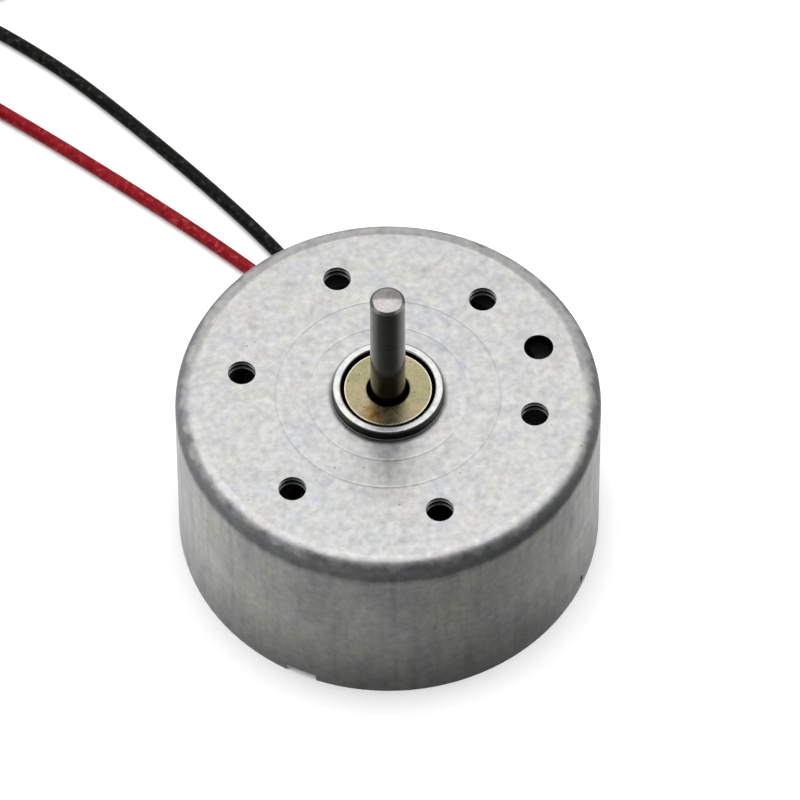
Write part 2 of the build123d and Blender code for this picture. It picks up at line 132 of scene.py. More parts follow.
BLACK_LEAD_ROUTE = [
    (0.00190, 0.00755, 0.0004),
    (0.00060, 0.00835, 0.0004),
    (-0.00090, 0.00955, 0.0004),
    (-0.00225, 0.01135, 0.0004),
    (-0.00355, 0.01380, 0.0004),
    (-0.00510, 0.01650, 0.0004),
    (-0.00720, 0.01925, 0.0004),
    (-0.01030, 0.02275, 0.0004),
    (-0.01420, 0.02675, 0.0004),
    (-0.01840, 0.03085, 0.0004),
    (-0.02190, 0.03360, 0.0004),
    (-0.02476, 0.03551, 0.0004),
    (-0.02660, 0.03672, 0.0005),
]
BLACK_COIL_CENTRE = (-0.0255, 0.0420)
BLACK_TAIL_ROUTE = [
    (-0.02399, 0.04634, COIL_TOP_Z),
    (-0.02220, 0.04572, COIL_TOP_Z + 0.00012),
    (-0.02035, 0.04485, 0.00102),
    (-0.01855, 0.04370, 0.00044),
    (-0.01700, 0.04250, 0.0004),
]
BLACK_EXIT = (-0.0025, 0.0119, 0.0004)
BLACK_LENGTH = 0.125


def between(low, high, share):
    """From low to high along a smooth step, as share goes from 0 to 1."""
    share = min(max(share, 0.0), 1.0)
    return low + (high - low) * share * share * (3 - 2 * share)


def coil_lay(turn):
    """(radius, height) of the lead after this many turns: outer, then inner, then on top."""
    if turn < UPWARD_AT:
        return COIL_MEAN_R + between(LEAD_R, -LEAD_R, (turn - INWARD_AT) / MOVE_TURNS), COIL_LOW_Z
    climb = (turn - UPWARD_AT) / MOVE_TURNS
    height = between(COIL_LOW_Z, COIL_TOP_Z + CROSSING_LIFT, climb)
    height -= between(0, CROSSING_LIFT, (turn - LANDED_AT) / LANDING_TURNS)
    return COIL_MEAN_R + between(-LEAD_R, 0, climb), height


def coil_points(centre, entry_degrees, sense, turns):
    """Control points of the put-away coil, from its entry to just before its end."""
    points = []
    count = round(turns * COIL_STEPS)
    for i in range(count):
        turn = turns * i / count
        radius, height = coil_lay(turn)
        angle = radians(entry_degrees) + sense * tau * turn
        x = centre[0] + COIL_REACH * radius * cos(angle)
        y = centre[1] + COIL_REACH * radius * sin(angle)
        points.append((x, y, height))
    return points


def link(name, data):
    made = bpy.data.objects.new(name, data)
    bpy.context.scene.collection.objects.link(made)
    return made


def nurbs_cord(name, points):
    """A smooth round cord along these control points."""
    curve = bpy.data.curves.new(name, "CURVE")
    curve.dimensions = "3D"
    spline = curve.splines.new("NURBS")
    spline.points.add(len(points) - 1)
    for target, point in zip(spline.points, points):
        target.co = (*point, 1.0)
    spline.order_u = 3
    spline.use_endpoint_u = True
    curve.resolution_u = 6
    curve.bevel_depth = LEAD_R
    curve.bevel_resolution = 5
    curve.use_fill_caps = True
    return link(name, curve)


def centreline(cord):
    """Points along a cord's own spline, read from it with no bevel."""
    depth, caps = cord.data.bevel_depth, cord.data.use_fill_caps
    cord.data.bevel_depth, cord.data.use_fill_caps = 0.0, False
    bpy.context.view_layer.update()
    evaluated = cord.evaluated_get(bpy.context.evaluated_depsgraph_get())
    line = bpy.data.meshes.new_from_object(evaluated)
    points = [v.co.copy() for v in line.vertices]
    bpy.data.meshes.remove(line)
    cord.data.bevel_depth, cord.data.use_fill_caps = depth, caps
    return points


red_cord = nurbs_cord(
    "red_cord", RED_LEAD_ROUTE + coil_points(RED_COIL_CENTRE, 55.0, 1, 2.5) + RED_TAIL_ROUTE)
black_cord = nurbs_cord(
    "black_cord", BLACK_LEAD_ROUTE + coil_points(BLACK_COIL_CENTRE, 236.4, -1, 2.46) + BLACK_TAIL_ROUTE)


# ---- mesh helpers ----------------------------------------------------------------
def mesh_piece(name, bm, smooth_degrees=35.0):
    """A new object from a bmesh, shaded smooth except across sharper edges."""
    bmesh.ops.recalc_face_normals(bm, faces=bm.faces)
    limit = radians(smooth_degrees)
    for face in bm.faces:
        face.smooth = True
    for edge in bm.edges:
        edge.smooth = len(edge.link_faces) != 2 or edge.calc_face_angle(0.0) < limit
    mesh = bpy.data.meshes.new(name)
    bm.to_mesh(mesh)
    bm.free()
    return link(name, mesh)


def skin(bm, rings, closed=False, caps=True):
    """Joins rings of points, each of the same count, into a tube."""
    loops = [[bm.verts.new(p) for p in ring] for ring in rings]
    count = len(loops[0])
    pairs = list(zip(loops, loops[1:]))
    if closed:
        pairs.append((loops[-1], loops[0]))
    for here, there in pairs:
        for i in range(count):
            j = (i + 1) % count
            bm.faces.new((here[i], here[j], there[j], there[i]))
    if caps and not closed:
        bm.faces.new(loops[0])
        bm.faces.new(loops[-1])


def wire(bm, points, radius, sides=8):
    """A round wire along a list of points, with flat ends."""
    points = [Vector(p) for p in points]
    across = None
    rings = []
    for i, point in enumerate(points):
        before, after = points[max(i - 1, 0)], points[min(i + 1, len(points) - 1)]
        along = (after - before).normalized()
        across = along.orthogonal() if across is None else across - along * across.dot(along)
        across.normalize()
        other = along.cross(across)
        rings.append([
            point + radius * (across * cos(tau * k / sides) + other * sin(tau * k / sides))
            for k in range(sides)])
    skin(bm, rings)


def strands(bm, start, end, splay=0.25, count=6, turns=0.6, steps=14):
    """A stranded conductor between two points: a straight core, and a twisted layer that splays."""
    strand_r = CONDUCTOR_R / 3
    along = end - start
    across = along.orthogonal().normalized()
    other = along.normalized().cross(across)
    wire(bm, [start + along * (i / 3) for i in range(4)], strand_r)
    for k in range(count):
        path = []
        for i in range(steps + 1):
            angle = tau * (k / count + turns * i / steps)
            flare = 1 + splay * (i / steps) ** 4 * sin(3 * k + 1)
            path.append(start + along * (i / steps)
                        + 2 * strand_r * flare * (across * cos(angle) + other * sin(angle)))
        wire(bm, path, strand_r)


# ---- materials -------------------------------------------------------------------
def grey(value):
    return (value, value, value, 1.0)


def tone(red, green, blue):
    return (red, green, blue, 1.0)


class Nodes:
    """Short calls for the nodes of one material or world."""

    def __init__(self, tree):
        self.tree = tree
        self.place = tree.nodes.new("ShaderNodeTexCoord").outputs

    def plug(self, value, socket):
        if isinstance(value, bpy.types.NodeSocket):
            self.tree.links.new(value, socket)
        else:
            socket.default_value = value

    def node(self, kind, inputs, **settings):
        made = self.tree.nodes.new("ShaderNode" + kind)
        for name, value in settings.items():
            setattr(made, name, value)
        for key, value in inputs.items():
            self.plug(value, made.inputs[key])
        return made

    def part(self, vector, axis):
        return self.node("SeparateXYZ", {0: vector}).outputs[axis]

    def maths(self, operation, a, b=0.0):
        return self.node("Math", {0: a, 1: b}, operation=operation).outputs[0]

    def span(self, value, low, high, to_low=0.0, to_high=1.0):
        """Value from low..high as to_low..to_high, clamped."""
        inputs = {0: value, 1: low, 2: high, 3: to_low, 4: to_high}
        return self.node("MapRange", inputs, clamp=True).outputs[0]

    def ramp(self, value, *stops):
        made = self.node("ValToRGB", {0: value})
        elements = made.color_ramp.elements
        elements.remove(elements[1])
        elements[0].position, elements[0].color = stops[0]
        for position, colour in stops[1:]:
            elements.new(position).color = colour
        return made.outputs[0]

    def mix(self, share, a, b, blend="MIX"):
        made = self.node("Mix", {0: share, 6: a, 7: b}, data_type="RGBA", blend_type=blend)
        return made.outputs[2]


class Finish(Nodes):
    """A procedural material whose textures read object coordinates, in metres."""

    def __init__(self, name, constants):
        self.material = bpy.data.materials.new(name)
        self.material.use_nodes = True
        super().__init__(self.material.node_tree)
        self.shader = self.tree.nodes["Principled BSDF"]
        for socket, value in constants.items():
            self.shader.inputs[socket].default_value = value

    def scaled(self, size, stretch=(1, 1, 1), seed=0.0):
        """Object coordinates in units of this size, drawn out along the axes by stretch."""
        return self.node("Mapping", {
            "Vector": self.place["Object"],
            "Location": (seed, seed, seed),
            "Scale": [1 / (size * s) for s in stretch],
        }).outputs[0]

    def noise(self, size, stretch=(1, 1, 1), detail=3.0, seed=0.0):
        vector = self.scaled(size, stretch, seed)
        inputs = {"Vector": vector, "Scale": 1.0, "Detail": detail, "Roughness": 0.55}
        return self.node("TexNoise", inputs).outputs[0]

    def dots(self, size, seed=0.0):
        """Distance from scattered points, about this far apart."""
        return self.node("TexVoronoi", {"Vector": self.scaled(size, seed=seed), "Scale": 1.0}).outputs[0]

    def axis_distance(self, centre=(0, 0, 0)):
        """Distance from the shaft's axis, or from an upright line through this centre."""
        flat = self.node("Mapping", {"Vector": self.place["Object"], "Scale": (1, 1, 0)}).outputs[0]
        return self.node("VectorMath", {0: flat, 1: centre}, operation="DISTANCE").outputs["Value"]

    def height(self):
        """Height above the plane that the motor stands on."""
        return self.part(self.place["Object"], 2)

    def colour(self, value):
        self.plug(value, self.shader.inputs["Base Color"])

    def roughness(self, value):
        self.plug(value, self.shader.inputs["Roughness"])

    def bump(self, height, depth):
        """Raises the surface by depth where height is 1, on top of any bump already there."""
        made = self.node("Bump", {"Height": height, "Distance": depth, "Strength": 1.0})
        socket = self.shader.inputs["Normal"]
        if socket.is_linked:
            self.tree.links.new(socket.links[0].from_socket, made.inputs["Normal"])
        self.tree.links.new(made.outputs[0], socket)


# tint at each radius in mm: a painted highlight on the collar top, painted shade at its foot and as faint
# dark lines in the two coined rings
COLLAR_PAINTED_LIGHT = [(2.7, 1.3), (3.10, 1.3), (3.16, 0.3), (3.28, 0.35), (3.5, 1.0), (4.53, 1.0), (4.6, 0.94),
                (4.67, 1.0), (6.37, 1.0), (6.45, 0.86), (6.53, 1.0)]
COLLAR_SPAN = (2.5 * MM, 7.5 * MM)
# radii within which upright walls are painted near black as shade
HOLE_LIMIT = (10.9 * MM, 11.1 * MM)
# tint and added roughness at each share of the can's height: painted shade darkening the foot, and a painted
# dark band on the rounded rim standing in for the dark surroundings it mirrors; the added roughness there is
# the rim's own
RIM_PAINTED_SHADE = [(0.0, grey(0.38)), (0.1, grey(0.48)), (0.45, grey(1.0)), (0.87, grey(1.05)),
             (0.90, tone(0.82, 0.84, 0.86)), (0.925, tone(0.51, 0.53, 0.55)),
             (0.95, tone(0.44, 0.46, 0.48)), (0.972, tone(0.50, 0.52, 0.54)), (0.985, grey(0.88)),
             (1.0, grey(1.0))]
RIM_ROUGHNESS = [(0.90, 0.0), (0.93, 0.1), (0.985, 0.1), (0.9995, 0.0)]


def collar_light_and_shade(f, out):
    """Painted highlight and painted shade that depend on the distance from the shaft's axis."""
    low, high = COLLAR_SPAN
    stops = [((radius * MM - low) / (high - low), grey(value)) for radius, value in COLLAR_PAINTED_LIGHT]
    return f.ramp(f.span(out, low, high), *stops)


def zinc_steel():
    """Matte zinc plating: fine mottling on the face, darker drawn streaks down the wall, and painted shade
    and highlights at the foot, rim, collar and holes.
    """
    f = Finish("zinc_plated_steel", {"Metallic": 1.0})
    tint = f.ramp(
        f.noise(1.7 * MM, detail=4, seed=3.1),
        (0.32, tone(0.445, 0.457, 0.474)), (0.45, tone(0.474, 0.476, 0.474)),
        (0.55, tone(0.485, 0.485, 0.460)), (0.68, tone(0.488, 0.472, 0.474)))
    mottle = f.ramp(f.noise(0.42 * MM, detail=6, seed=8.4), (0.3, grey(0.74)), (0.7, grey(1.0)))
    face = f.mix(1.0, tint, mottle, "MULTIPLY")
    wall = f.span(f.maths("ABSOLUTE", f.part(f.place["Normal"], 2)), 0.1, 0.8, 1.0, 0.0)
    drawn = f.ramp(f.noise(0.5 * MM, stretch=(1, 1, 14), detail=5, seed=1.7),
                   (0.3, grey(0.78)), (0.5, grey(0.96)), (0.7, grey(1.02)))
    handled = f.ramp(f.noise(2.4 * MM, stretch=(1, 1, 1.6), detail=5, seed=7.3),
                     (0.34, tone(0.85, 0.86, 0.85)), (0.5, tone(1.0, 1.0, 0.97)),
                     (0.66, tone(1.07, 1.08, 1.0)))
    sides = f.mix(1.0, f.mix(1.0, face, drawn, "MULTIPLY"), handled, "MULTIPLY")
    blend = f.mix(wall, face, sides)
    specks = f.ramp(f.dots(1.3 * MM, seed=5.2), (0.03, grey(0.55)), (0.06, grey(1.0)))
    height = f.span(f.height(), can_low.z, can_low.z + CAN_H)
    wander = f.span(f.noise(1.1 * MM, detail=5, seed=3.6), 0.25, 0.75, -0.02, 0.02)
    # painted shade: darker towards the foot of the can, and a dark band painted on the rounded rim as its
    # reflection
    painted_rim_shade = f.ramp(f.maths("ADD", height, wander), *RIM_PAINTED_SHADE)
    specked_and_shaded = f.mix(1.0, f.mix(1.0, blend, specks, "MULTIPLY"), painted_rim_shade, "MULTIPLY")
    out = f.axis_distance()
    # painted highlight on the collar top, painted shade at its foot and in the coined rings
    collar_lit_and_shaded = f.mix(1.0, specked_and_shaded, collar_light_and_shade(f, out), "MULTIPLY")
    # painted shade: upright walls inside HOLE_LIMIT, such as the hole walls, are coloured near black
    painted_hole_shade = f.maths("MULTIPLY", wall, f.span(out, *HOLE_LIMIT, 0.93, 0.0))
    f.colour(f.mix(painted_hole_shade, collar_lit_and_shaded, tone(0.02, 0.02, 0.02)))
    polish = f.span(f.noise(0.8 * MM, seed=2.2), 0.3, 0.7, 0.27, 0.36)
    drawn_rim = f.ramp(height, *[(share, grey(value)) for share, value in RIM_ROUGHNESS])
    f.roughness(f.maths("ADD", polish, drawn_rim))
    f.bump(f.noise(0.3 * MM, detail=5, seed=6.6), 5e-6)
    streaks = f.noise(0.3 * MM, stretch=(1, 1, 20), detail=3, seed=4.1)
    f.bump(f.maths("MULTIPLY", streaks, wall), 5e-6)
    return f.material


STAIN_CENTRE = (-0.9 * MM, -1.8 * MM, 0.0)
# radii between which each of these begins: a painted highlight on the bearing's edge, painted shade in the
# groove outside it and in the hole round the shaft
EDGE_HIGHLIGHT_PAINT = (2.42 * MM, 2.48 * MM)
GROOVE_SHADE_PAINT = (2.5 * MM, 2.54 * MM)
BORE_SHADE_PAINT = (1.2 * MM, 1.35 * MM)


def sintered_bronze():
    """Porous bronze, damp with lubricant: pores, uneven colour, an old stain, a painted highlight on its
    edge, painted shade in the groove outside it and in the hole round the shaft.
    """
    f = Finish("sintered_bronze", {"Metallic": 1.0})
    body = f.ramp(f.noise(1.4 * MM, detail=4, seed=2.0),
                  (0.34, tone(0.25, 0.25, 0.135)), (0.5, tone(0.30, 0.262, 0.155)),
                  (0.66, tone(0.335, 0.27, 0.175)))
    uneven = f.maths("MULTIPLY", f.noise(0.5 * MM, detail=4, seed=7.5), 1.6 * MM)
    away = f.maths("ADD", f.axis_distance(STAIN_CENTRE), uneven)
    stain = f.span(away, 0.9 * MM, 1.7 * MM, 1.0, 0.0)
    spotted = f.ramp(f.noise(0.3 * MM, detail=3, seed=2.7), (0.35, tone(0.15, 0.075, 0.02)),
                     (0.6, tone(0.28, 0.145, 0.035)))
    stained = f.mix(stain, body, spotted)
    pores = f.ramp(f.dots(0.42 * MM, seed=1.0), (0.07, grey(0.25)), (0.16, grey(1.0)))
    grain = f.ramp(f.noise(0.16 * MM, detail=3, seed=4.0), (0.3, grey(0.8)), (0.7, grey(1.0)))
    speckled = f.mix(1.0, f.mix(1.0, stained, pores, "MULTIPLY"), grain, "MULTIPLY")
    out = f.axis_distance()
    # painted highlight: a bright ring on the bearing's edge
    edge_highlighted = f.mix(f.span(out, *EDGE_HIGHLIGHT_PAINT), speckled, tone(0.62, 0.58, 0.47))
    # painted shade: the outside of the bearing is coloured near black for the groove round it
    groove_shaded = f.mix(f.span(out, *GROOVE_SHADE_PAINT), edge_highlighted, tone(0.012, 0.01, 0.008))
    # painted shade: the hole round the shaft is coloured dark
    bore_shade = f.span(out, *BORE_SHADE_PAINT, 1.0, 0.0)
    f.colour(f.mix(bore_shade, groove_shaded, tone(0.05, 0.03, 0.03)))
    f.roughness(f.span(f.noise(0.5 * MM, seed=3.0), 0.3, 0.7, 0.22, 0.34))
    f.bump(f.noise(0.2 * MM, detail=4, seed=9.0), 4e-6)
    return f.material


# depth below the tip where the cut end begins, and how far up from the collar the shaft is darkened
END_FACE = (0.13 * MM, 0.11 * MM)
FOOT_DARK_REACH = 3.5 * MM


def ground_steel():
    """A ground shaft with fine rings round its axis, darker towards its foot, and a brighter cut end."""
    f = Finish("ground_steel", {"Metallic": 1.0})
    rings = f.noise(0.05 * MM, stretch=(60, 60, 1), detail=4, seed=1.4)
    dry = f.ramp(rings, (0.3, tone(0.10, 0.10, 0.09)), (0.7, tone(0.155, 0.155, 0.14)))
    # the shaft is darker towards its foot
    foot_dark = f.span(f.height(), can_high.z, can_high.z + FOOT_DARK_REACH, 0.6, 0.0)
    body = f.mix(foot_dark, dry, tone(0.02, 0.018, 0.01))
    cut = f.ramp(f.noise(0.3 * MM, detail=4, seed=6.2),
                 (0.3, tone(0.27, 0.25, 0.25)), (0.7, tone(0.39, 0.365, 0.365)))
    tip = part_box("shaft")[1].z
    end = f.span(f.height(), *[tip - depth for depth in END_FACE])
    f.colour(f.mix(end, body, cut))
    f.roughness(f.span(f.noise(0.4 * MM, seed=5.0), 0.3, 0.7, 0.14, 0.24))
    f.bump(rings, 0.7e-6)
    return f.material


def metal(name, low, high, size, roughness, grain_depth, stretch=(1, 1, 1)):
    """A plain metal with uneven colour, polish and a fine grain."""
    f = Finish(name, {"Metallic": 1.0})
    f.colour(f.ramp(f.noise(size, stretch, detail=5, seed=1.9), (0.3, tone(*low)), (0.7, tone(*high))))
    f.roughness(f.span(f.noise(size / 2, stretch, seed=4.4), 0.3, 0.7, roughness - 0.05, roughness + 0.08))
    f.bump(f.noise(size / 5, stretch, detail=3, seed=7.7), grain_depth)
    return f.material


def plastic(name, low, high, size, roughness, grain_depth, extra=None):
    """A moulded plastic, resin, film or rubber with faint flow marks and a fine texture."""
    f = Finish(name, {"Metallic": 0.0, **(extra or {})})
    f.colour(f.ramp(f.noise(size, detail=4, seed=2.9), (0.3, tone(*low)), (0.7, tone(*high))))
    f.roughness(f.span(f.noise(size / 2, seed=6.1), 0.3, 0.7, roughness - 0.06, roughness + 0.08))
    f.bump(f.noise(size / 8, detail=3, seed=3.3), grain_depth)
    return f.material


def insulation(name, low, high, bright):
    """Thin vinyl over twisted strands, which show through as small lighter mottles."""
    f = Finish(name, {"Metallic": 0.0, "Specular IOR Level": 0.08})
    body = f.ramp(f.noise(0.6 * MM, detail=4, seed=4.6), (0.3, tone(*low)), (0.7, tone(*high)))
    marks = f.span(f.noise(0.3 * MM, detail=2, seed=9.3), 0.54, 0.7, 0.0, 0.6)
    f.colour(f.mix(marks, body, tone(*bright)))
    f.roughness(f.span(f.noise(0.5 * MM, seed=1.1), 0.3, 0.7, 0.34, 0.5))
    f.bump(f.noise(0.35 * MM, detail=3, seed=5.5), 1.4e-5)
    return f.material


CORE_SHEETS = 8


def lamination_steel():
    """Stamped core sheets: a darker line at each joint between sheets."""
    f = Finish("electrical_steel", {"Metallic": 1.0})
    low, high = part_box("core_laminations")
    sheet = (high.z - low.z) / CORE_SHEETS
    place = f.maths("FRACT", f.maths("DIVIDE", f.maths("SUBTRACT", f.height(), low.z), sheet))
    joint = f.span(f.maths("ABSOLUTE", f.maths("SUBTRACT", place, 0.5)), 0.40, 0.5)
    stamped = f.ramp(f.noise(0.3 * MM, detail=5),
                     (0.3, tone(0.2, 0.2, 0.205)), (0.7, tone(0.33, 0.325, 0.32)))
    f.colour(f.mix(joint, stamped, tone(0.05, 0.045, 0.04)))
    f.roughness(f.span(f.noise(0.5 * MM, seed=2.0), 0.3, 0.7, 0.35, 0.55))
    f.bump(f.maths("MULTIPLY", joint, -1.0), 2e-5)
    return f.material


# slot: (dark colour, light colour, size of the mottles, roughness, depth of the grain, and extras)
METALS = {
    "terminal_brass": ((0.56, 0.42, 0.17), (0.72, 0.56, 0.26), 0.5 * MM, 0.28, 2e-6),
    "brush_alloy": ((0.64, 0.48, 0.3), (0.76, 0.6, 0.4), 0.3 * MM, 0.22, 1e-6, (8, 8, 1)),
    "solder": ((0.55, 0.56, 0.58), (0.74, 0.75, 0.76), 0.35 * MM, 0.24, 5e-6),
    "tinned_copper": ((0.58, 0.55, 0.5), (0.75, 0.73, 0.7), 0.2 * MM, 0.25, 1e-6),
    "enamelled_copper": ((0.42, 0.13, 0.045), (0.6, 0.22, 0.09), 0.4 * MM, 0.22, 1e-6),
    "commutator_alloy": ((0.55, 0.36, 0.2), (0.74, 0.5, 0.3), 0.12 * MM, 0.2, 1e-6, (20, 20, 1)),
}
NYLON_DEPTH = {"Subsurface Weight": 0.2, "Subsurface Radius": (1.0, 1.0, 0.9), "Subsurface Scale": 0.3 * MM}
COVER_DEPTH = {"Subsurface Weight": 0.15, "Subsurface Radius": (1.0, 0.9, 0.7), "Subsurface Scale": 0.4 * MM}
PLASTICS = {
    "bonded_ferrite": ((0.028, 0.028, 0.03), (0.055, 0.054, 0.056), 0.5 * MM, 0.62, 6e-6),
    "cover_plastic": ((0.66, 0.65, 0.60), (0.74, 0.73, 0.68), 3.0 * MM, 0.42, 3e-6, COVER_DEPTH),
    "thrust_plastic": ((0.55, 0.5, 0.38), (0.64, 0.6, 0.46), 1.2 * MM, 0.3, 2e-6),
    "damper_rubber": ((0.02, 0.02, 0.02), (0.04, 0.04, 0.04), 0.2 * MM, 0.75, 4e-6),
    "tie_plastic": ((0.62, 0.62, 0.6), (0.72, 0.72, 0.7), 0.8 * MM, 0.36, 3e-6, NYLON_DEPTH),
    "insulator_board": ((0.02, 0.034, 0.03), (0.036, 0.056, 0.048), 0.6 * MM, 0.5, 3e-6),
    "commutator_resin": ((0.06, 0.032, 0.02), (0.1, 0.055, 0.036), 0.4 * MM, 0.45, 3e-6),
    "varistor_ceramic": ((0.035, 0.036, 0.04), (0.06, 0.06, 0.066), 0.3 * MM, 0.5, 3e-6),
    "washer_film": ((0.4, 0.22, 0.05), (0.52, 0.3, 0.08), 0.7 * MM, 0.3, 1e-6),
    "spacer_plastic": ((0.66, 0.66, 0.63), (0.74, 0.74, 0.71), 0.8 * MM, 0.4, 2e-6),
}
# slot: (dark colour, light colour, colour of the lighter mottles)
INSULATIONS = {
    "red_insulation": ((0.12, 0.002, 0.004), (0.2, 0.004, 0.009), (0.34, 0.04, 0.05)),
    "black_insulation": ((0.0015, 0.0014, 0.001), (0.004, 0.0036, 0.0028), (0.036, 0.035, 0.03)),
}
FINISHES = {
    "zinc_plated_steel": zinc_steel(),
    "sintered_bronze": sintered_bronze(),
    "ground_steel": ground_steel(),
    "electrical_steel": lamination_steel(),
}
for make, table in ((metal, METALS), (plastic, PLASTICS), (insulation, INSULATIONS)):
    for name, values in table.items():
        FINISHES[name] = make(name, *values)


def finish(piece, slot):
    """Gives a piece the material of a record slot."""
    piece.data.materials.clear()
    piece.data.materials.append(FINISHES[slot])


for part in frame["record"]["subparts"]:
    finish(frame["nodes"][part["node"]], part["material_slot"])


# ---- pieces on the leads ---------------------------------------------------------
def lead_tip(name, cord, node):
    """Bare twisted strands that carry on from the cut end of the insulation."""
    line = centreline(cord)
    end = line[-1]
    along = (end - line[-2]).normalized()
    low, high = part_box(node)
    length = max((corner - end).dot(along) for corner in (low, high)) - CONDUCTOR_R
    bm = bmesh.new()
    strands(bm, end - along * STRAND_OVERLAP, end + along * length)
    return mesh_piece(name, bm)


def bundle_ring(margin, steps=36):
    """Outline round the coiled bundle, as (outwards from the coil's centre, up) points."""
    middle = Vector((COIL_MEAN_R, COIL_LOW_Z + (COIL_TOP_Z - COIL_LOW_Z) / 3))
    centres = [
        Vector((COIL_MEAN_R - LEAD_R, COIL_LOW_Z)), Vector((COIL_MEAN_R + LEAD_R, COIL_LOW_Z)),
        Vector((COIL_MEAN_R, COIL_TOP_Z))]
    outline = []
    for i in range(steps):
        facing = Vector((cos(tau * i / steps), sin(tau * i / steps)))
        farthest = max(centres, key=lambda c: (c - middle).dot(facing))
        outline.append(farthest + facing * (LEAD_R + margin))
    return outline


def coil_tie(name, node, centre, degrees):
    """A flat strap round the bundle with rounded edges, and its small lock on the outside."""
    bm = bmesh.new()
    rings = []
    inner, outer = TIE_MARGIN, TIE_MARGIN + TIE_THICKNESS
    # half of the strap's section, as (share of its width from the middle, margin round the bundle)
    half = [(0.42, inner), (0.5, inner + 0.05 * MM), (0.47, outer - 0.03 * MM), (0.4, outer)]
    for share, margin in [(-share, margin) for share, margin in half] + half[::-1]:
        angle = radians(degrees) + share * TIE_WIDTH / COIL_MEAN_R
        across = Vector((cos(angle), sin(angle)))
        places = [(Vector(centre) + r * across, z) for r, z in bundle_ring(margin)]
        rings.append([Vector((*place, z)) for place, z in places])
    skin(bm, rings, closed=True)
    tie_lock(bm, centre, radians(degrees), COIL_MEAN_R + LEAD_D + outer)
    return mesh_piece(name, bm)


def tie_lock(bm, centre, angle, radius):
    """The strap's lock: a small bevelled block standing on the strap's outer side."""
    size = LOCK_SIZE
    made = bmesh.ops.create_cube(bm, size=1.0)
    middle = Vector((radius - LOCK_SUNK + size.x / 2, 0, COIL_LOW_Z - LOCK_DROP + size.z / 2))
    turn = Matrix.Translation((*centre, 0)) @ Matrix.Rotation(angle, 4, "Z")
    block = turn @ Matrix.Translation(middle) @ Matrix.Diagonal((*size, 1.0))
    bmesh.ops.transform(bm, matrix=block, verts=made["verts"])
    edges = {e for v in made["verts"] for e in v.link_edges}
    bmesh.ops.bevel(bm, geom=list(edges), offset=LOCK_BEVEL, segments=3, affect="EDGES")


red_tip = lead_tip("red_tip_strands", red_cord, "red_lead_tip")
black_tip = lead_tip("black_tip_strands", black_cord, "black_lead_tip")
red_tie = coil_tie("red_tie_strap", "red_coil_tie", RED_COIL_CENTRE, 180.0)
black_tie = coil_tie("black_tie_strap", "black_coil_tie", BLACK_COIL_CENTRE, 90.0)
for colour, cord, tip, tie, start, length in (
        ("red", red_cord, red_tip, red_tie, RED_EXIT, RED_LENGTH),
        ("black", black_cord, black_tip, black_tie, BLACK_EXIT, BLACK_LENGTH)):
    finish(cord, f"{colour}_insulation")
    finish(tip, "tinned_copper")
    finish(tie, "tie_plastic")
    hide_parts(f"{colour}_lead", f"{colour}_lead_coil")
    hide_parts(f"{colour}_lead_tip")
    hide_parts(f"{colour}_coil_tie")
    for piece in (cord, tip, tie):
        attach(piece, "stator")


# ---- solder and conductors at the terminals ----------------------------------------
JOINT_DIRECTIONS = {-1: RED_LEAD_ROUTE[0], 1: BLACK_LEAD_ROUTE[0]}
# (radius, height) in mm, from the pad down
PAD_DOME = [(0.97, 0.715), (0.95, 0.69), (0.85, 0.63), (0.77, 0.56), (0.70, 0.47), (0.62, 0.38),
            (0.51, 0.29), (0.37, 0.215), (0.2, 0.165), (0.05, 0.15)]
# solder drawn out along a wire: (height, spread of height, reach) in mm, and its width in radians
PAD_CLIMB = (0.42, 0.17, 0.4)
CLIMB_WIDTH = 0.3
TAB_DOME = [(0.37, 3.91), (0.35, 3.87), (0.30, 3.82), (0.21, 3.77), (0.1, 3.75), (0.03, 3.745)]
TAB_CLIMB = (3.85, 0.06, 0.12)


def solder_dome(bm, centre, profile, climb, towards, seed, sides=40):
    """A hanging dome of (radius, height) rings in mm, uneven, and drawn out along its wires."""
    climb_z, climb_spread, climb_reach = climb
    rings = []
    for radius, height in profile:
        reach = climb_reach * exp(-((height - climb_z) / climb_spread) ** 2)
        ring = []
        for k in range(sides):
            angle = tau * k / sides
            out = radius * (1 + 0.03 * sin(2 * angle + seed) + 0.02 * sin(5 * angle + 2 * seed))
            for wire_angle in towards:
                away = (angle - wire_angle + pi) % tau - pi
                out += reach * exp(-(away / CLIMB_WIDTH) ** 2)
            x = centre[0] + out * MM * cos(angle)
            y = centre[1] + out * MM * sin(angle)
            ring.append(Vector((x, y, height * MM)))
        rings.append(ring)
    skin(bm, rings)


def terminal_joints():
    """Solder domes on both terminal pads, and the stranded conductors that they hold."""
    domes, conductors = bmesh.new(), bmesh.new()
    for side, insulation_start in JOINT_DIRECTIONS.items():
        node = "terminal_positive" if side < 0 else "terminal_negative"
        low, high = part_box(node)
        pad = Vector(((low.x + high.x) / 2, (low.y + high.y) / 2, LEAD_R))
        run = Vector(insulation_start) - pad
        angle = atan2(run.y, run.x)
        solder_dome(domes, pad, PAD_DOME, PAD_CLIMB, [angle], 2.0 + side)
        strands(conductors, pad, pad + run + run.normalized() * STRAND_OVERLAP, splay=0.0)
    return mesh_piece("solder_domes", domes), mesh_piece("lead_conductors", conductors)


# ---- windings ------------------------------------------------------------------------
WIRE_R = 0.085 * MM
CORNER_STEPS = 6
LAP_STEPS = 4 * CORNER_STEPS
END_LAPS = 6
OUTER_CORNER = 0.6 * MM
INNER_CORNER = 0.12 * MM
POLES = {"winding_1": 90.0, "winding_2": 210.0, "winding_3": 330.0}
TAB_ANGLES = (30.0, 150.0, 270.0)
TAB_JOINT_R = 2.95 * MM
TAIL_SPREAD = 0.9
